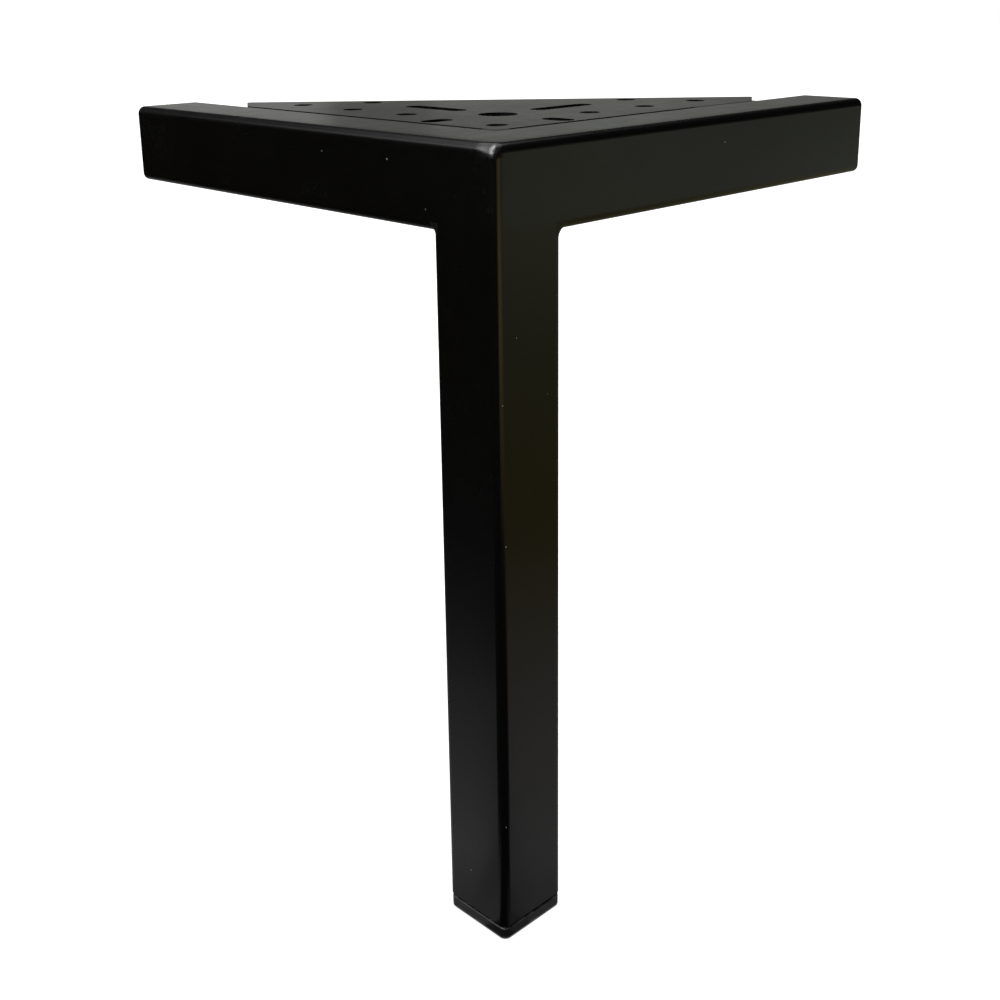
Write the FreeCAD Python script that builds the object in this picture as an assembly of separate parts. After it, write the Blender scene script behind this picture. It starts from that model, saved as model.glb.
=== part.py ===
import FreeCAD, Part
import os
from math import sqrt

from FreeCAD import Vector

# Square metal table leg, in millimetres.
# Three lengths of one square tube meet in a three-way mitre at the top corner: the leg and two arms.
# A drilled triangular plate fills the angle between the arms, flush with their tops, and takes the screws.
# The arm ends are closed by welded plates, and a moulded plug with a thick flange is the foot.
# Origin: centre of the foot's bottom face. +Z up, +X along the right arm, +Y along the left arm.

# Tube shared by the leg and both arms
tube_side = 25.0
tube_wall = 1.5
tube_edge_radius = 2.5       # outside rounding of the tube's four long edges

# The frame's reach
leg_height = 240.0           # floor to the table's underside
arm_length = 175.0           # the corner's outer face to the closed end of an arm
end_plate_thickness = 1.5

# Mounting plate: a right triangle between the arms, with both sharp corners cut off
plate_thickness = 2.0
plate_end_margin = 7.0       # the triangle's sharp corner, before it is cut off, to the end of the arm
plate_tip_cut = 22.0         # length of each short edge that goes with its sharp corner
plate_tip_long_cut = 12.5    # length that goes from each end of the long edge
plate_tip_radius = 1.5       # rounding of the cut's own corners

# Holes in the plate, measured from the arms' inner faces
screw_hole = 6.5
corner_hole_offset = 9.3
row_offset = 14.5            # screw rows beside each arm, across from the arm
row_start = 55.0             # first screw of a row, along the arm
row_end_margin = 34.0        # last screw of a row to the triangle's sharp corner
row_holes = 3
outer_hole_setback = 11.5    # outer screw, back from the row's last one
outer_hole_edge = 7.0        # outer screw to the plate's long edge
centre_hole = 12.5
centre_hole_offset = 32.5
slot_width = 6.5
long_slot_offset = 34.5      # long slots, across from the arm
long_slot_land = 11.25       # land between the centre hole and a long slot
short_slot_length = 11.0
short_slot_edge = 1.5        # land between a short slot and the plate's edge

# Foot plug
flange_thickness = 4.0
flange_inset = 0.15          # flange set back from the tube's faces
flange_lower_radius = 0.7
flange_upper_radius = 0.4
seat_gap = 1.0               # the plug isn't driven quite home, which leaves a dark seam above its flange
boss_wall = 1.6
boss_length = 17.0
boss_bore_radius = 1.0
rib_height = 1.0             # the ribs fill this gap between the boss and the tube's bore
rib_edge_radius = 3.0        # the ribs' corners stay back from the bore's corners
rib_rim = 0.5                # thickness at a rib's rim
rib_root = 1.4               # thickness where a rib leaves the boss
rib_pitch = 3.6
rib_count = 4

# Weld beads
bead_right = 2.0             # leg to the right arm
bead_left = 0.8              # leg to the left arm
bead_arms = 2.0              # arm to arm, below the plate
bead_hollow = 0.36           # shape of a bead's face: 0.5 is flat, less is hollow
bead_knot = 1.6              # radius of the lump where the three beads meet
stitch_radius = 2.0          # short beads under the plate
stitch_length = 18.0
corner_fill = 4.0            # the plate's groove is filled this far from its corner
tip_fill = 32.0              # and this far back from where its right tip is cut off

# Sizes worked out from those above
bore_side = tube_side - 2 * tube_wall
bore_edge_radius = tube_edge_radius - tube_wall
plate_leg = arm_length - tube_side - plate_end_margin
plate_tip = plate_leg - plate_tip_cut
row_last = plate_leg - row_end_margin
row_pitch = (row_last - row_start) / (row_holes - 1)
outer_along = row_last - outer_hole_setback
outer_across = plate_leg - outer_along - outer_hole_edge * sqrt(2)
long_slot_length = row_pitch
boss_side = bore_side - 2 * rib_height
boss_edge_radius = rib_edge_radius - rib_height
overrun = 1.0                # cutters run this far past what they cut

UP, ALONG_RIGHT, ALONG_LEFT = Vector(0, 0, 1), Vector(1, 0, 0), Vector(0, 1, 0)
OUTER_CORNER = Vector(-tube_side / 2, -tube_side / 2, leg_height)
INNER_CORNER = Vector(tube_side / 2, tube_side / 2, leg_height)


def upright_edges(shape):
    return [e for e in shape.Edges if abs(e.tangentAt(e.FirstParameter).dot(UP)) > 0.5]


def flat_face(points):
    """Planar face through a list of corners."""
    return Part.Face(Part.makePolygon(points + points[:1]))


def square_bar(side, edge_radius, length):
    """Solid bar standing on the square from 0 to side, with its four long edges rounded."""
    bar = Part.makeBox(side, side, length)
    return bar.makeFillet(edge_radius, upright_edges(bar))


def mitred(bar):
    """Cuts a bar's lower end along z = x and z = y, so that three such bars meet at one corner."""
    low, far = -overrun, tube_side + overrun
    triangle = [(low, low), (far, low), (far, far)]
    below_x = flat_face([Vector(across, low, height) for across, height in triangle])
    below_y = flat_face([Vector(low, across, height) for across, height in triangle])
    return bar.cut([below_x.extrude(ALONG_LEFT * (far - low)), below_y.extrude(ALONG_RIGHT * (far - low))])


def at_corner(shape, first, second, run):
    """Moves a shape from a bar's own frame to the outer corner: its section along first and second,
    its length along run."""
    placed = shape.copy()
    corner = FreeCAD.Placement(OUTER_CORNER, FreeCAD.Rotation(first, second, run, "ZXY"))
    placed.Placement = corner.multiply(shape.Placement)
    return placed


def on_leg(shape):
    return at_corner(shape, ALONG_LEFT, ALONG_RIGHT, -UP)


def on_right_arm(shape):
    return at_corner(shape, -UP, ALONG_LEFT, ALONG_RIGHT)


def on_left_arm(shape):
    return at_corner(shape, ALONG_RIGHT, -UP, ALONG_LEFT)


def swap_arms(shape):
    """Mirrors a shape from the right arm's side to the left arm's."""
    return shape.mirror(Vector(0, 0, 0), ALONG_RIGHT - ALONG_LEFT)


def ball_cornered(bar):
    """Dresses a mitred bar's share of the outer corner, where three rounded edges meet, to part of a ball."""
    reach = tube_edge_radius + overrun
    corner = Part.makeBox(reach, reach, reach, Vector(-overrun, -overrun, -overrun))
    ball = Part.makeSphere(tube_edge_radius, Vector(tube_edge_radius, tube_edge_radius, tube_edge_radius))
    return bar.cut(corner.cut(ball))


def mitred_bar(length):
    """The tube's outside as a solid, with its mitred end."""
    return ball_cornered(mitred(square_bar(tube_side, tube_edge_radius, length)))


def mitred_tube(length):
    bore = square_bar(bore_side, bore_edge_radius, length).translate(Vector(tube_wall, tube_wall, 0))
    return mitred_bar(length).cut(bore)


def end_plate():
    """Plate over the open end of an arm, with the tube's own outline."""
    plate = square_bar(tube_side, tube_edge_radius, end_plate_thickness)
    return plate.translate(UP * (arm_length - end_plate_thickness))


def hole(diameter, along, across):
    """Cutter for a round hole, measured from the plate's corner."""
    drill = Part.makeCylinder(diameter / 2, plate_thickness + 2 * overrun)
    return drill.translate(Vector(along, across, -overrun))


def slot(start, end, across):
    """Cutter for a slot with round ends that runs along the right arm, from start to end."""
    radius = slot_width / 2
    middle = Part.makeBox(end - start - slot_width, slot_width, plate_thickness + 2 * overrun)
    middle.translate(Vector(start + radius, across - radius, -overrun))
    ends = [hole(slot_width, along, across) for along in (start + radius, end - radius)]
    return middle.fuse(ends).removeSplitter()


def cutters_beside_right_arm():
    """The holes and slots of one half of the plate, which the other half mirrors."""
    cutters = [hole(screw_hole, row_start + row_pitch * i, row_offset) for i in range(row_holes)]
    cutters.append(hole(screw_hole, outer_along, outer_across))
    slot_from = centre_hole_offset + centre_hole / 2 + long_slot_land
    cutters.append(slot(slot_from, slot_from + long_slot_length, long_slot_offset))
    short_slot = slot(short_slot_edge, short_slot_edge + short_slot_length, centre_hole_offset)
    cutters.append(swap_arms(short_slot))
    return cutters


def mounting_plate():
    across = plate_tip_long_cut / sqrt(2)
    along = plate_leg - across
    outline = [Vector(0, 0, 0), Vector(plate_tip, 0, 0), Vector(along, across, 0),
               Vector(across, along, 0), Vector(0, plate_tip, 0)]
    plate = flat_face(outline).extrude(UP * plate_thickness)
    cut_corners = [e for e in upright_edges(plate) if e.CenterOfMass.Length > plate_leg / 2]
    plate = plate.makeFillet(plate_tip_radius, cut_corners)
    right_half = cutters_beside_right_arm()
    cutters = right_half + [swap_arms(cutter) for cutter in right_half]
    cutters.append(hole(screw_hole, corner_hole_offset, corner_hole_offset))
    cutters.append(hole(centre_hole, centre_hole_offset, centre_hole_offset))
    return plate.cut(cutters).translate(INNER_CORNER - UP * plate_thickness)


def plug_block(side, edge_radius, base, height):
    """Rounded square block about the leg's axis, standing at the height base."""
    return square_bar(side, edge_radius, height).translate(Vector(-side / 2, -side / 2, base))


def plug_outline(side, edge_radius, height):
    """Closed outline of such a block at one height."""
    block = plug_block(side, edge_radius, height, overrun)
    return min(block.Faces, key=lambda face: face.CenterOfMass.z).OuterWire


def plug_flange():
    """Flange under the tube's end, with its edges rounded."""
    side, edge_radius = tube_side - 2 * flange_inset, tube_edge_radius - flange_inset
    flange = plug_block(side, edge_radius, 0, flange_thickness)
    lower = [e for e in flange.Edges if e.BoundBox.ZMax < flange_thickness / 2]
    flange = flange.makeFillet(flange_lower_radius, lower)
    upper = [e for e in flange.Edges if e.BoundBox.ZMin > flange_thickness - flange_upper_radius / 2]
    return flange.makeFillet(flange_upper_radius, upper)


def plug_rib(base):
    """Barbed rib round the boss: its rim fills the bore, and its upper face slopes back to the boss."""
    return Part.makeLoft([plug_outline(bore_side, rib_edge_radius, base),
                          plug_outline(bore_side, rib_edge_radius, base + rib_rim),
                          plug_outline(boss_side, boss_edge_radius, base + rib_root)], True, True)


def foot_plug():
    boss = plug_block(boss_side, boss_edge_radius, flange_thickness, boss_length)
    top_rib = flange_thickness + boss_length - rib_root - rib_rim
    ribs = [plug_rib(top_rib - rib_pitch * i) for i in range(rib_count)]
    hollow = plug_block(boss_side - 2 * boss_wall, boss_bore_radius, flange_thickness, boss_length + overrun)
    return plug_flange().fuse([boss] + ribs).cut(hollow).removeSplitter()


def bead(size, start, end):
    """Hollow-faced bead along a bar's inner edge line, with stock behind it to be cut back to the tubes."""
    back, toe, middle = tube_side - tube_edge_radius - overrun, tube_side + size, tube_side + size * bead_hollow
    first_toe, last_toe = Vector(toe, tube_side, start), Vector(tube_side, toe, start)
    face_arc = Part.Arc(first_toe, Vector(middle, middle, start), last_toe)
    stock = Part.makePolygon([last_toe, Vector(back, toe, start), Vector(back, back, start),
                              Vector(toe, back, start), first_toe])
    return Part.Face(Part.Wire([face_arc.toShape()] + stock.Edges)).extrude(UP * (end - start))


def dressed_bead(size):
    """Bead from an outer face inwards. Its end is ground flush and carries the tubes' rounding round the angle."""
    whole = bead(size, 0, tube_side)
    end_arc = [e for e in whole.Edges if e.Curve.TypeId == "Part::GeomCircle" and e.BoundBox.ZMax < overrun]
    return whole.makeFillet(tube_edge_radius, end_arc)


def corner_weld(bars):
    """The weld inside the mitre: three beads along its open angles, meeting in one lump."""
    beads = [on_left_arm(dressed_bead(bead_right)),
             on_right_arm(dressed_bead(bead_left)),
             on_leg(bead(bead_arms, plate_thickness, tube_side)),
             Part.makeSphere(bead_knot, INNER_CORNER - UP * tube_side)]
    return beads[0].fuse(beads[1:]).cut(bars).removeSplitter()


def stitch(centre, arm_bar):
    """Short round-ended bead under the plate, against the right arm's inner face."""
    half_run = stitch_length / 2 - stitch_radius
    start = INNER_CORNER + Vector(centre - half_run, 0, -plate_thickness)
    end = start + ALONG_RIGHT * (2 * half_run)
    rod = Part.makeCylinder(stitch_radius, 2 * half_run, start, ALONG_RIGHT)
    above = Part.makeBox(stitch_length + 2 * overrun, 4 * stitch_radius, 2 * stitch_radius)
    above.translate(start - Vector(stitch_radius + overrun, 2 * stitch_radius, 0))
    rounded = rod.fuse([Part.makeSphere(stitch_radius, start), Part.makeSphere(stitch_radius, end)])
    return rounded.cut([above, arm_bar]).removeSplitter()


def groove_fill(start, end, bars):
    """Weld dressed flush in the groove between the plate's edge and the right arm's rounded edge."""
    stock = Part.makeBox(end - start, tube_edge_radius, plate_thickness)
    stock.translate(INNER_CORNER + Vector(start, -tube_edge_radius, -plate_thickness))
    return stock.cut(bars)


def plate_welds(bars):
    """The beads that hold the plate: stitches under it, and the filled stretches of its groove."""
    right_arm = bars[1]
    centres = [row_start + row_pitch * (i + 0.5) for i in range(row_holes - 1)]
    stitches = [stitch(centre, right_arm) for centre in centres]
    stitches += [swap_arms(one) for one in stitches]
    right_half = groove_fill(-tube_edge_radius, corner_fill, bars)
    corner = right_half.fuse(swap_arms(right_half)).removeSplitter()
    tip = groove_fill(plate_tip - tip_fill, plate_tip, bars)
    return Part.makeCompound(stitches + corner.Solids + tip.Solids)


def main():
    leg_run = leg_height - flange_thickness - seat_gap
    arm_run = arm_length - end_plate_thickness
    bars = [on_leg(mitred_bar(leg_run)), on_right_arm(mitred_bar(arm_run)), on_left_arm(mitred_bar(arm_run))]
    pieces = {
        "leg_tube": on_leg(mitred_tube(leg_run)),
        "arm_tube_right": on_right_arm(mitred_tube(arm_run)),
        "arm_tube_left": on_left_arm(mitred_tube(arm_run)),
        "arm_end_plate_right": on_right_arm(end_plate()),
        "arm_end_plate_left": on_left_arm(end_plate()),
        "mounting_plate": mounting_plate(),
        "corner_weld": corner_weld(bars),
        "plate_welds": plate_welds(bars),
        "foot_plug": foot_plug(),
    }
    os.makedirs("parts", exist_ok=True)
    for name, shape in pieces.items():
        print(f"{name}: valid {shape.isValid()}, solids {len(shape.Solids)}, volume {shape.Volume:.1f}")
        shape.exportStep(f"parts/{name}.step")


main()
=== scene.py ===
# %% [markdown]
# # A square metal table leg, finished in satin black
#
# The leg is welded from three lengths of square steel tube that meet in one mitred corner, with a
# drilled plate between the two arms and a moulded plug as its foot. The solids are already there, at
# their real size. This lesson gives each of them the finish that the real one has, lays the ripples
# of the weld beads, and lights the leg as it stands in a small white studio.

import bpy
import bmesh
from math import cos, radians, sin
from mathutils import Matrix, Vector


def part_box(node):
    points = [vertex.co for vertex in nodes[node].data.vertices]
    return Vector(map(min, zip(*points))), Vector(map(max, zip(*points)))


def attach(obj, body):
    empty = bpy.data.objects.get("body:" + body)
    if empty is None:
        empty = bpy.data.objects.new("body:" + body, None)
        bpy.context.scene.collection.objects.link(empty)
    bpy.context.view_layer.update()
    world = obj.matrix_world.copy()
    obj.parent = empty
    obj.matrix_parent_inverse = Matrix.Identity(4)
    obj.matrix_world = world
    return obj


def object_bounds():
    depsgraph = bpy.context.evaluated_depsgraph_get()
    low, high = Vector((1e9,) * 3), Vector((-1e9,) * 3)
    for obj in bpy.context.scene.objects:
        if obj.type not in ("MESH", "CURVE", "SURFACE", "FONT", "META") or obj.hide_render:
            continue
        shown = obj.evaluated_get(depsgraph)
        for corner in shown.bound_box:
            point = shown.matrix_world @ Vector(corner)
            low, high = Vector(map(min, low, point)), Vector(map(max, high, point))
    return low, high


MM = 0.001

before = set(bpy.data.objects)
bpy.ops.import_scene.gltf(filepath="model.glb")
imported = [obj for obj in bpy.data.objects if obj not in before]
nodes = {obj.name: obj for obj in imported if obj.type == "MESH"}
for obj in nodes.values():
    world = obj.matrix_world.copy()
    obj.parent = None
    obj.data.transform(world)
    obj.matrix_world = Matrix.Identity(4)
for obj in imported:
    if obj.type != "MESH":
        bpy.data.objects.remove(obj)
solid_low, solid_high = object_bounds()
leg_height = solid_high.z
print("pieces:", ", ".join(sorted(nodes)))
print("height in mm:", round(leg_height / MM, 2))

# %% [markdown]
# ## Shader maths that reads like maths
#
# A finish is a sum of small effects: a cloud of grey here, a finer grain there, a few specks of
# dust. In a material each plus or times is a Math node with links. It could be wired by hand, but
# then the formula is lost among the links. So one small class wraps a socket and lets Python's own
# operators add the Math nodes. Every other node comes from one method of the bench, which serves a
# material and the world alike.

# %% A socket that can be added, multiplied and compared
class Signal:
    """One output of a node, a number or colour that varies over the surface."""

    def __init__(self, bench, socket):
        self.bench = bench
        self.socket = socket

    def __add__(self, other):
        return self.bench.maths("ADD", self, other)

    def __radd__(self, other):
        return self.bench.maths("ADD", other, self)

    def __sub__(self, other):
        return self.bench.maths("SUBTRACT", self, other)

    def __rsub__(self, other):
        return self.bench.maths("SUBTRACT", other, self)

    def __mul__(self, other):
        return self.bench.maths("MULTIPLY", self, other)

    def __rmul__(self, other):
        return self.bench.maths("MULTIPLY", other, self)

    def __lt__(self, other):
        return self.bench.maths("LESS_THAN", self, other)


# %% A bench that hands out nodes
class Bench:
    """The node tree of a material or of the world, emptied and ready to be built up."""

    def __init__(self, owner):
        self.owner = owner
        owner.use_nodes = True
        self.tree = owner.node_tree
        self.tree.nodes.clear()

    def node(self, kind, settings=None, sockets=None, output=0):
        """Adds a node, sets it up, then fills or links its sockets, and returns one of its outputs."""
        made = self.tree.nodes.new(kind)
        for name, value in (settings or {}).items():
            if name == "stops":
                set_stops(made.color_ramp, value)
            else:
                setattr(made, name, value)
        for name, value in (sockets or {}).items():
            if isinstance(value, Signal):
                self.tree.links.new(value.socket, made.inputs[name])
            else:
                made.inputs[name].default_value = value
        return Signal(self, made.outputs[output]) if made.outputs else made

    def maths(self, operation, *values, clamp=False):
        """A Math node on one to three values, each a number or a Signal."""
        return self.node("ShaderNodeMath", {"operation": operation, "use_clamp": clamp},
                         dict(enumerate(values)))

    def mix(self, share, first, second):
        """Goes from the first colour to the second as share goes from 0 to 1."""
        return self.node("ShaderNodeMix", {"data_type": "RGBA"}, {0: share, 6: first, 7: second}, output=2)

    def blend(self, value, low, high):
        """0 where the value is low and 1 where it is high, with a soft step between."""
        return self.node("ShaderNodeMapRange", {"interpolation_type": "SMOOTHSTEP"},
                         {"Value": value, "From Min": low, "From Max": high})


def set_stops(ramp, stops):
    """Gives a colour ramp its stops, each a place from 0 to 1 and a colour."""
    while len(ramp.elements) < len(stops):
        ramp.elements.new(0.5)
    for element, (place, colour) in zip(ramp.elements, stops):
        element.position = place
        element.color = colour


def new_finish(name):
    return Bench(bpy.data.materials.new(name))


# %% [markdown]
# ## Patterns with a real size
#
# Orange peel on powder coat has lumps of one or two millimetres, and a grain of dust is a fifth of
# one. A pattern laid by UVs would stretch from piece to piece. Object coordinates are in metres here,
# because every piece has its origin at the leg's foot, so a noise of a given grain keeps that grain
# on each tube. Specks are the points of a Voronoi pattern: a surface cuts the small balls round
# them, and that gives specks of many sizes for nothing.

# %% Noise, specks and heights in millimetres
def whereabouts(bench, seed=0.0):
    """Where a point is on the object, in metres, moved by the seed so that patterns differ."""
    place = bench.node("ShaderNodeTexCoord", output="Object")
    moved = (seed, seed * 0.7, seed * 0.3)
    return bench.node("ShaderNodeMapping", None, {"Vector": place, "Location": moved})


def noise(bench, grain, detail=2.0, roughness=0.5, seed=0.0):
    """Soft noise from 0 to 1 with lumps about grain metres across."""
    place = whereabouts(bench, seed)
    return bench.node("ShaderNodeTexNoise", None,
                      {"Vector": place, "Scale": 1 / grain, "Detail": detail, "Roughness": roughness})


def specks(bench, spacing, radius, seed=0.0):
    """1 inside small balls of this radius, strewn about spacing metres apart, and 0 elsewhere."""
    place = whereabouts(bench, seed)
    away = bench.node("ShaderNodeTexVoronoi", None, {"Vector": place, "Scale": 1 / spacing},
                      output="Distance")
    return away < radius / spacing


def height_above_floor(bench):
    place = bench.node("ShaderNodeTexCoord", output="Object")
    return bench.node("ShaderNodeSeparateXYZ", None, {"Vector": place}, output="Z")


def grey(value, warmth=0.0):
    """A grey colour, with more red than blue where warmth is over zero."""
    return (value * (1 + warmth), value, value * (1 - warmth), 1.0)


# %% [markdown]
# ## The powder coat
#
# The tubes are sprayed with black powder that melts in an oven. It flows into a satin skin with a
# faint orange peel, and it holds the dust that settles on it. One flat black with one roughness
# would be quick, but it looks like plastic film. So the black drifts a little over 30 mm, the gloss
# drifts over 6 mm, two sizes of bump make the peel, and pale specks stand for dust and dark ones for
# pinholes. The lowest part of the leg has been handled most, so its gloss is blotchier.
#
# The three tubes meet in one outer corner, which was ground smooth after welding. The rounded corner
# itself is solid. What the grinder left on top of it is too shallow to show in the outline, so it
# goes into the same bump. It is a wide sweep over both faces, and a small facet that runs out along
# the left arm.

# %% The dressed corner
sweep_reach = 7 * MM
sweep_depth = 0.27 * MM
facet_depth = 0.55 * MM


def dressed_corner(bench, unit):
    """How far the outer corner was ground down, in units of this many metres."""
    place = bench.node("ShaderNodeTexCoord", output="Object")
    split = [bench.node("ShaderNodeSeparateXYZ", None, {"Vector": place}, output=axis) for axis in "XYZ"]
    near = []
    for i in (0, 1):
        away = (split[i] - solid_low[i]) * (1 / sweep_reach)
        near.append(bench.maths("SUBTRACT", 1.0, away, clamp=True))
    top = bench.blend(split[2], leg_height - 24 * MM, leg_height - 4 * MM)
    sweep = (near[0] * near[0] + near[1] * near[1]) * top
    along_right = 1 - bench.blend(split[0], solid_low.x + 0.5 * MM, solid_low.x + 3.5 * MM)
    along_left = 1 - bench.blend(split[1], solid_low.y + 2 * MM, solid_low.y + 8 * MM)
    down = bench.blend(split[2], leg_height - 3.9 * MM, leg_height - 0.9 * MM)
    facet = along_right * along_left * down
    return sweep * (sweep_depth / unit) + facet * (facet_depth / unit)


print("the grinder took", round((sweep_depth + facet_depth) / MM, 2), "mm at the most")


# %% A satin black coat
DUST = grey(0.32, 0.02)


def powder_coat(name, seed, satin=0.26, peel=0.010 * MM, black=0.0017, grit=0.0):
    """Satin black powder coat. Peel is the depth of its bumps in metres. Grit adds a fine roughness."""
    bench = new_finish(name)
    clouds = noise(bench, 30 * MM, seed=seed)
    blotches = noise(bench, 6 * MM, roughness=0.6, seed=seed + 1.0)
    orange_peel = noise(bench, 1.6 * MM, detail=1.0, seed=seed + 2.0)
    fine_grain = noise(bench, 0.4 * MM, detail=1.0, seed=seed + 3.0)
    handled = 1 - bench.blend(height_above_floor(bench), 20 * MM, 120 * MM)
    dust = specks(bench, 7 * MM, 0.2 * MM, seed + 4.0)
    pinholes = specks(bench, 9 * MM, 0.25 * MM, seed + 5.0)

    colour = bench.mix(clouds, grey(black * 0.8, 0.03), grey(black * 1.25, 0.02))
    colour = bench.mix(dust, colour, DUST)
    gloss_drift = (blotches - 0.5) * (0.06 + 0.12 * handled) + 0.06 * (clouds - 0.5)
    roughness = satin + gloss_drift + 0.4 * dust + 0.25 * pinholes + grit * (fine_grain - 0.4)
    skin = 0.8 * orange_peel + 0.2 * fine_grain + 0.6 * dust - 1.0 * pinholes
    height = skin - dressed_corner(bench, peel)
    bump = bench.node("ShaderNodeBump", None, {"Strength": 1.0, "Distance": peel, "Height": height})
    shader = bench.node("ShaderNodeBsdfPrincipled", None, {
        "Base Color": colour, "Roughness": roughness, "Normal": bump, "Specular IOR Level": 0.4})
    bench.node("ShaderNodeOutputMaterial", None, {"Surface": shader})
    return bench.owner


def dress(node_names, material):
    """Puts one finish on some of the solids."""
    for name in node_names:
        slots = nodes[name].data.materials
        slots.clear()
        slots.append(material)
    print(material.name, "on", ", ".join(node_names))


tube_names = ["leg_tube", "arm_tube_right", "arm_tube_left", "arm_end_plate_right", "arm_end_plate_left"]
dress(tube_names, powder_coat("powder_coat", seed=0.0))

# %% [markdown]
# ## The plate and the welds
#
# The plate is hot rolled sheet under the same powder. Its rolled skin is a little coarser than a
# drawn tube, so its coat is duller and grittier. Over a weld bead the powder lies uneven, thick in
# the toes and thin on the ripples. Both are the same finish with other numbers, so the function that
# made the tubes' coat makes these too.

# %% Coats for the plate and the welds
dress(["mounting_plate"], powder_coat("plate_coat", seed=11.0, satin=0.27, peel=0.012 * MM, grit=0.10))
weld_coat = powder_coat("weld_coat", seed=23.0, satin=0.40, peel=0.030 * MM, grit=0.10)
dress(["corner_weld", "plate_welds"], weld_coat)

# %% [markdown]
# ## The plug's plastic
#
# The foot is moulded polyethylene with a fine spark-eroded grain. It is duller and a shade greyer
# than the coat. Both rims of its flange are pale: partly scuffs, the lower one scuffed by the floor,
# and partly a painted highlight on their small rounded edges. The pale bands could be painted by
# hand on UVs. They lie at a known height, though, so a soft step on the height and a coarse noise
# place them, and they stay right if the plug's mesh changes.

# %% Moulded plastic with scuffed rims and painted rim highlights
flange_top = 4.0 * MM


def moulded_plastic(name):
    bench = new_finish(name)
    height = height_above_floor(bench)
    mottle = noise(bench, 2.5 * MM, detail=3.0, seed=31.0)
    spark_grain = noise(bench, 0.25 * MM, detail=1.0, seed=32.0)
    worn = bench.blend(noise(bench, 1.8 * MM, detail=4.0, roughness=0.7, seed=33.0), 0.42, 0.62)
    lower_rim = 1 - bench.blend(height, 0.2 * MM, 0.9 * MM)
    upper_rim = bench.blend(height, flange_top - 0.5 * MM, flange_top - 0.2 * MM)
    # pale rims: partly scuffs, partly a painted highlight of the small rounded edges
    scuffs_and_rim_highlight = bench.maths("MAXIMUM", lower_rim, upper_rim) * worn
    dust = specks(bench, 5 * MM, 0.18 * MM, seed=34.0)

    colour = bench.mix(mottle, grey(0.006, -0.02), grey(0.012, -0.03))
    colour = bench.mix(0.8 * scuffs_and_rim_highlight, colour, grey(0.07, -0.02))
    colour = bench.mix(dust, colour, DUST)
    roughness = 0.42 + 0.14 * (mottle - 0.5) + 0.18 * scuffs_and_rim_highlight
    relief = 0.7 * spark_grain + 0.3 * mottle - 0.8 * scuffs_and_rim_highlight
    bump = bench.node("ShaderNodeBump", None, {"Strength": 1.0, "Distance": 0.012 * MM, "Height": relief})
    shader = bench.node("ShaderNodeBsdfPrincipled", None, {
        "Base Color": colour, "Roughness": roughness, "Normal": bump, "Specular IOR Level": 0.45})
    bench.node("ShaderNodeOutputMaterial", None, {"Surface": shader})
    return bench.owner


dress(["foot_plug"], moulded_plastic("plug_plastic"))

# %% [markdown]
# ## Ripples on the weld beads
#
# A weld bead is a row of frozen puddles, each lapping over the last one. The solids have the bead's
# smooth body. Modelling each puddle by hand would take hours, and a bump would leave the outline
# smooth. Geometry Nodes suit a thing that repeats along a path: the path is a few edges, it is
# sampled at the pitch of the ripples, and a flat leaning lens is set at each sample.

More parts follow.
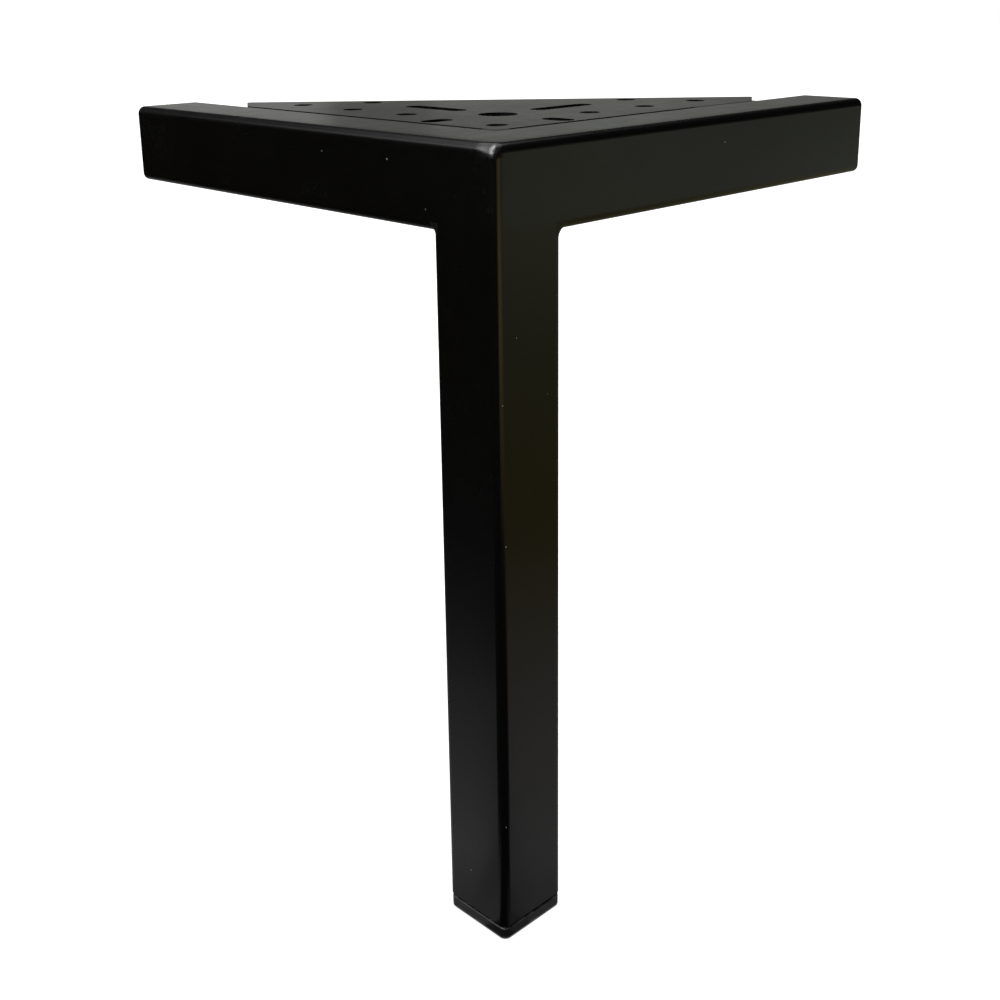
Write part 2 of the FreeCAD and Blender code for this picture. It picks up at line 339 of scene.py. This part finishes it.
# %% A tree that lays leaning lenses along a path
def ripple_tree(material):
    tree = bpy.data.node_groups.new("weld_ripples", "GeometryNodeTree")
    tree.interface.new_socket("Geometry", in_out="INPUT", socket_type="NodeSocketGeometry")
    sizes = {
        "Pitch": 1.1 * MM,
        "Bead radius": 1.35 * MM,
        "Lens thickness": 1.0 * MM,
        "Lean": 0.45,
        "Unevenness": 0.12,
    }
    inputs = {}
    for name, value in sizes.items():
        socket = tree.interface.new_socket(name, in_out="INPUT", socket_type="NodeSocketFloat")
        socket.default_value = value
        inputs[name] = socket
    seed = tree.interface.new_socket("Seed", in_out="INPUT", socket_type="NodeSocketInt")
    seed.default_value = 7
    tree.interface.new_socket("Geometry", in_out="OUTPUT", socket_type="NodeSocketGeometry")

    def node(kind, settings=None, sockets=None):
        made = tree.nodes.new(kind)
        for name, value in (settings or {}).items():
            setattr(made, name, value)
        for name, value in (sockets or {}).items():
            if isinstance(value, bpy.types.NodeSocket):
                tree.links.new(value, made.inputs[name])
            else:
                made.inputs[name].default_value = value
        return made

    given = node("NodeGroupInput").outputs
    path = node("GeometryNodeMeshToCurve", None, {"Mesh": given["Geometry"]}).outputs["Curve"]
    samples = node("GeometryNodeResampleCurve", {"mode": "LENGTH"},
                   {"Curve": path, "Length": given["Pitch"]}).outputs["Curve"]

    along = node("GeometryNodeInputTangent").outputs["Tangent"]
    facing = node("FunctionNodeAlignRotationToVector", {"axis": "Z"}, {"Vector": along}).outputs["Rotation"]
    lean = node("ShaderNodeCombineXYZ", None, {"X": given["Lean"]}).outputs["Vector"]
    tilted = node("FunctionNodeRotateRotation", {"rotation_space": "LOCAL"},
                  {"Rotation": facing, "Rotate By": lean}).outputs["Rotation"]

    smallest = node("ShaderNodeMath", {"operation": "SUBTRACT"}, {0: 1.0, 1: given["Unevenness"]}).outputs[0]
    chance = node("FunctionNodeRandomValue", {"data_type": "FLOAT"}, {"Seed": given["Seed"]})
    tree.links.new(smallest, chance.inputs[2])
    chance.inputs[3].default_value = 1.0
    wide = node("ShaderNodeMath", {"operation": "MULTIPLY"},
                {0: chance.outputs[1], 1: given["Bead radius"]}).outputs[0]
    scale = node("ShaderNodeCombineXYZ", None,
                 {"X": wide, "Y": wide, "Z": given["Lens thickness"]}).outputs["Vector"]

    ball = node("GeometryNodeMeshUVSphere", None, {"Segments": 12, "Rings": 8, "Radius": 1.0}).outputs["Mesh"]
    lens = node("GeometryNodeSetShadeSmooth", None, {"Geometry": ball}).outputs["Geometry"]
    laid = node("GeometryNodeInstanceOnPoints", None, {
        "Points": samples, "Instance": lens, "Rotation": tilted, "Scale": scale}).outputs["Instances"]
    real = node("GeometryNodeRealizeInstances", None, {"Geometry": laid}).outputs["Geometry"]
    coated = node("GeometryNodeSetMaterial", None, {"Geometry": real, "Material": material})
    node("NodeGroupOutput", None, {"Geometry": coated.outputs["Geometry"]})
    return tree, {name: socket.identifier for name, socket in inputs.items()}


# %% [markdown]
# The paths come from the solids' own boxes. Each stitch under the plate lies in the corner between
# the plate and an arm, so its path runs just inside that corner. The bead inside the mitre runs up
# the inner corner, from the place where the arms and the leg meet to the plate.

# %% Where the beads run
plate_low, plate_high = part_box("mounting_plate")
weld_low, weld_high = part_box("corner_weld")
inner_face = plate_low.x
underside = plate_low.z
tube_bottom = weld_low.z + 2.0 * MM
sunk = 0.55 * MM
bead_radius = 1.35 * MM
print("inner faces at", round(inner_face / MM, 2), "mm")
print("plate's underside at", round(underside / MM, 2), "mm")


def swap_arms(point):
    return Vector((point.y, point.x, point.z))


def stitch_paths():
    """The middle lines of the four stitches, from the first screw of a row to the last."""
    row_start, row_pitch, stitch_run = 55.0 * MM, 27.0 * MM, 14.0 * MM
    paths = []
    for i in range(2):
        middle = inner_face + row_start + row_pitch * (i + 0.5)
        ends = []
        for side in (-1, 1):
            ends.append(Vector((middle + side * stitch_run / 2, inner_face + sunk, underside - sunk)))
        paths.append(ends)
        paths.append([swap_arms(end) for end in ends])
    return paths


def corner_path():
    """The middle line of the bead inside the mitre, which stops just short of the plate."""
    inner = inner_face + sunk
    return [Vector((inner, inner, tube_bottom - sunk)), Vector((inner, inner, underside - 1.5 * MM))]


paths = stitch_paths() + [corner_path()]
print("bead paths:", len(paths), "with", round(sum((b - a).length for a, b in paths) / MM, 1), "mm of bead")


# %% Lay the ripples
def ripples(name, lines):
    mesh = bpy.data.meshes.new(name)
    points = [tuple(point) for line in lines for point in line]
    edges = [(2 * i, 2 * i + 1) for i in range(len(lines))]
    mesh.from_pydata(points, edges, [])
    maker = bpy.data.objects.new(name + "_maker", mesh)
    bpy.context.scene.collection.objects.link(maker)
    tree, identifiers = ripple_tree(weld_coat)
    modifier = maker.modifiers.new("ripples", "NODES")
    modifier.node_group = tree
    modifier[identifiers["Bead radius"]] = bead_radius
    evaluated = maker.evaluated_get(bpy.context.evaluated_depsgraph_get())
    baked = bpy.data.meshes.new_from_object(evaluated)
    baked.name = name
    maker.modifiers.remove(modifier)
    bpy.data.objects.remove(maker)
    piece = bpy.data.objects.new(name, baked)
    bpy.context.scene.collection.objects.link(piece)
    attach(piece, "root")
    print(name, "has", len(baked.polygons), "faces")


ripples("weld_ripples", paths)

# %% [markdown]
# ## Floor and background
#
# The leg stands on white paper, and all that the camera sees round it is white. More light would
# bleach the paper, but it would also bleach the leg. So the paper glows a little where a camera,
# mirror or glass ray meets it, less right under the leg, where its shadow should still show. The
# world is treated the same way: white to those rays, and a dim fill to all others.

# %% White paper and a dim fill
def seen_directly(bench):
    """1 for a ray from the camera, off a gloss or through glass, and 0 for the others."""
    rays = ("Is Camera Ray", "Is Glossy Ray", "Is Transmission Ray")
    return bench.maths("MINIMUM", sum(bench.node("ShaderNodeLightPath", output=ray) for ray in rays), 1.0)


def white_paper(name, under_leg=0.80, afar=1.0):
    bench = new_finish(name)
    place = bench.node("ShaderNodeTexCoord", output="Object")
    distance = bench.node("ShaderNodeVectorMath", {"operation": "LENGTH"}, {0: place}, output="Value")
    glow = under_leg + (afar - under_leg) * bench.blend(distance, 0.10, 0.60)
    glowing = bench.node("ShaderNodeEmission", None, {"Strength": glow * seen_directly(bench)})
    paper = bench.node("ShaderNodeBsdfDiffuse", None, {"Color": grey(0.8)})
    both = bench.node("ShaderNodeAddShader", None, {0: glowing, 1: paper})
    bench.node("ShaderNodeOutputMaterial", None, {"Surface": both})
    return bench.owner


def sheet_of_paper(name, reach):
    mesh = bpy.data.meshes.new(name)
    corners = [(-reach, -reach, 0), (reach, -reach, 0), (reach, reach, 0), (-reach, reach, 0)]
    mesh.from_pydata(corners, [], [(0, 1, 2, 3)])
    mesh.materials.append(white_paper(name))
    floor = bpy.data.objects.new(name, mesh)
    bpy.context.scene.collection.objects.link(floor)
    print(name, "is", 2 * reach, "m wide")


def white_world(name, fill=0.45):
    bench = Bench(bpy.data.worlds.new(name))
    strength = fill + (1.0 - fill) * seen_directly(bench)
    sky = bench.node("ShaderNodeBackground", None, {"Color": grey(1.0), "Strength": strength})
    bench.node("ShaderNodeOutputWorld", None, {"Surface": sky})
    bpy.context.scene.world = bench.owner


sheet_of_paper("studio_floor", reach=8.0)
white_world("studio")

# %% [markdown]
# ## Cards for the reflections
#
# A gloss black thing has hardly any colour of its own: what it shows is the room. A photographer
# puts dark and grey cards round it, just out of the picture, and the faces take their tones from
# those. Each card here is a sector of a wide funnel round the leg, with its tones listed by height.
# The cards are not lit: each glows with its tones, so those tones are painted reflections, the light
# and shade that the leg's faces and edges show. Only glossy rays see the cards, so they throw no
# shadow and tint no paper.

# %% A funnel of cards, as radius and height in metres
funnel = [(0.0125, 0.0), (0.02, 0.0), (0.90, 0.44), (1.05, 1.60), (0.50, 2.20)]


def card(name, first_bearing, last_bearing, tones):
    """A glowing sector of the funnel between two bearings in degrees, with tones as (height, colour) that are
    painted reflections.
    """
    top = funnel[-1][1]
    bench = new_finish(name)
    share = bench.maths("DIVIDE", height_above_floor(bench), top, clamp=True)
    stops = [(height / top, (*colour, 1.0)) for height, colour in tones]
    tone = bench.node("ShaderNodeValToRGB", {"stops": stops}, {"Fac": share})
    # the card glows with its tones: painted reflections, seen only in the leg's gloss
    glow = bench.node("ShaderNodeEmission", None, {"Color": tone, "Strength": 1.0})
    bench.node("ShaderNodeOutputMaterial", None, {"Surface": glow})

    steps = 4
    shape = bmesh.new()
    columns = []
    for i in range(steps + 1):
        bearing = radians(first_bearing + (last_bearing - first_bearing) * i / steps)
        columns.append([shape.verts.new((r * cos(bearing), r * sin(bearing), z + MM)) for r, z in funnel])
    for here, there in zip(columns, columns[1:]):
        for k in range(len(funnel) - 1):
            shape.faces.new((here[k], there[k], there[k + 1], here[k + 1]))
    mesh = bpy.data.meshes.new(name)
    shape.to_mesh(mesh)
    shape.free()
    mesh.materials.append(bench.owner)
    piece = bpy.data.objects.new(name, mesh)
    bpy.context.scene.collection.objects.link(piece)
    for kind in ("camera", "diffuse", "shadow", "transmission", "volume_scatter"):
        setattr(piece, "visible_" + kind, False)
    print(name, "spans", last_bearing - first_bearing, "degrees with", len(stops), "tones")


def plain(value):
    return (value, value, value)


BLACK = plain(0.008)
print("a funnel with", len(funnel), "rings, up to", funnel[-1][1], "m high")

# %% [markdown]
# The tones go round the leg in turn. Behind it, a pale band low on the wall is what the flat tops
# mirror. At the right, the wall is olive and brownish near the front edge. At the left it is nearly
# black, apart from a window high up, a brightly glowing band and so a painted highlight, that only
# the rounded edges and the corner catch: it grows brighter towards the front, which is why the left
# arm's edge brightens towards the corner.

# %% Cards behind the leg
def pale_band(level, tint=0.03):
    tone = (level, level * (1 + tint), level * (1 - 2 * tint))
    return [(0.0, plain(0.15)), (0.20, plain(0.30)), (0.24, tone), (0.38, tone),
            (0.44, plain(0.03)), (2.2, plain(0.02))]


for first, last, level in [(5, 30, 0.30), (30, 34, 0.34), (34, 50, 0.385), (50, 57, 0.27)]:
    card("card_back_%d" % first, first, last, pale_band(level))
high_glow = [(0.98, plain(0.03)), (1.06, plain(0.25)), (2.2, plain(0.25))]
card("card_back_57", 57, 95, pale_band(0.52, tint=0.02)[:-1] + high_glow)

# %% [markdown]
# Near the floor, the cards at the left give the leg's lower part its grey. They are cut back towards
# the front, because the rounded front edge is black all the way down. Each row of the table is one
# card: its bearings, the window's sill, and the tones below and above the lintel.

# %% Cards at the left, with the window
near_floor_left = [(0.0, plain(0.26)), (0.003, plain(0.38)), (0.006, plain(0.42)), (0.023, plain(0.28)),
                   (0.034, plain(0.22)), (0.047, plain(0.10)), (0.068, plain(0.03)),
                   (0.113, (0.014, 0.011, 0.006))]
cut_back = {
    141: near_floor_left[:5] + [(0.045, BLACK)],
    150: near_floor_left[:3] + [(0.014, plain(0.36)), (0.024, BLACK)],
    157: near_floor_left[:2] + [(0.006, plain(0.34)), (0.011, BLACK)],
}
# the window glows brightly: its reflection is a painted highlight on the left arm's rounded edge and the
# corner
window_by_bearing = [
    (95, 111, 0.46, 0.04, 1.00),
    (111, 116, 0.46, 0.12, 1.10),
    (116, 121, 0.46, 0.40, 1.20),
    (121, 127, 0.46, 0.90, 1.50),
    (127, 141, 0.54, 1.80, 2.20),
    (141, 150, 0.58, 4.50, 5.50),
    (150, 157, 0.62, 11.0, 13.0),
    (157, 196, 0.62, 13.0, 14.0),
]
lintel = 0.92
dark_wall = (0.010, 0.008, 0.005)
for first, last, sill, below, above in window_by_bearing:
    window = [(sill, plain(0.015)), (sill + 0.08, plain(below)), (lintel, plain(below)),
              (lintel + 0.22, plain(above)), (2.2, plain(above))]
    near_floor = cut_back.get(first, near_floor_left)
    card("card_left_%d" % first, first, last, near_floor + [(0.19, dark_wall)] + window)

# %% Cards in front, with the brown reflection of the front edge
card("card_front", 196, 238, [(0.0, BLACK), (2.2, BLACK)])
brown = [(0.068, BLACK), (0.095, (0.45, 0.34, 0.14)), (0.12, (0.95, 0.72, 0.30)), (0.19, (1.0, 0.78, 0.36)),
         (0.24, (0.4, 0.32, 0.16)), (0.30, BLACK), (2.2, BLACK)]
card("card_brown", 238, 264, [(0.0, plain(0.15)), (0.002, BLACK)] + brown)
card("card_brown_right", 264, 276, [(0.0, plain(0.24)), (0.004, plain(0.30)), (0.008, BLACK)] + brown)
faint_brown = [(0.045, BLACK), (0.057, (0.20, 0.17, 0.10)), (0.10, (0.42, 0.34, 0.16)),
               (0.17, (0.50, 0.46, 0.30)), (0.22, BLACK), (2.2, BLACK)]
card("card_front_right", 276, 291, [(0.0, plain(0.24)), (0.005, plain(0.34)), (0.009, plain(0.25)),
                                    (0.014, BLACK)] + faint_brown)

# %% Cards at the right
near_floor_right = [(0.0, plain(0.24)), (0.006, plain(0.34)), (0.029, (0.32, 0.30, 0.28)),
                    (0.068, (0.18, 0.155, 0.04)), (0.113, (0.20, 0.19, 0.09)), (0.150, (0.29, 0.29, 0.18))]
olive_by_bearing = [
    ("card_right", 291, 320, (0.46, 0.48, 0.35)),
    ("card_right_far", 320, 327, (0.42, 0.44, 0.345)),
    ("card_right_end", 327, 365, (0.32, 0.34, 0.28)),
]
for name, first, last, olive in olive_by_bearing:
    card(name, first, last, near_floor_right + [(0.175, olive), (0.21, olive), (0.24, BLACK), (2.2, BLACK)])

# %% [markdown]
# ## The lamp
#
# A large soft box straight above gives, with the dim fill, the plain level that the leg is seen by.
# Its mirror image lies on the rounded edges only, so it stays weak: a stronger one would put a grey
# veil over edges that are nearly black on the real leg.

# %% A soft box
def soft_box(name, place, aim, size, power):
    lamp = bpy.data.lights.new(name, "AREA")
    lamp.shape = "SQUARE"
    lamp.size = size
    lamp.energy = power
    piece = bpy.data.objects.new(name, lamp)
    piece.location = place
    piece.rotation_euler = (Vector(aim) - Vector(place)).to_track_quat("-Z", "Y").to_euler()
    bpy.context.scene.collection.objects.link(piece)
    print(name, "is", size, "m wide and has", power, "watts")


soft_box("overhead_lamp", place=(0.10, 0.10, 1.25), aim=(0.05, 0.05, 0.0), size=1.2, power=8.0)

# %% [markdown]
# ## The camera
#
# It stands a little above the table top's height, in front of the outer corner, and looks slightly
# down. A phone that is held close does the same, which is why the leg narrows towards its foot. Its
# place, turn and lens were fitted to the edges in the picture. The small shift lifts the leg in the
# frame without turning the camera.

# %% Camera
camera_place = (-0.24556, -0.25130, 0.27841)
camera_turn = (73.498, 0.685, -44.595)
camera = bpy.data.cameras.new("camera")
camera.lens = 47.361
camera.sensor_width = 36.0
camera.shift_y = -0.125
camera.clip_start = 0.01
viewer = bpy.data.objects.new("camera", camera)
viewer.location = camera_place
viewer.rotation_euler = tuple(radians(angle) for angle in camera_turn)
bpy.context.scene.collection.objects.link(viewer)
bpy.context.scene.camera = viewer
bpy.context.scene.view_settings.view_transform = "Standard"
print("camera", round(viewer.location.length, 3), "m from the leg's foot, lens", camera.lens, "mm")
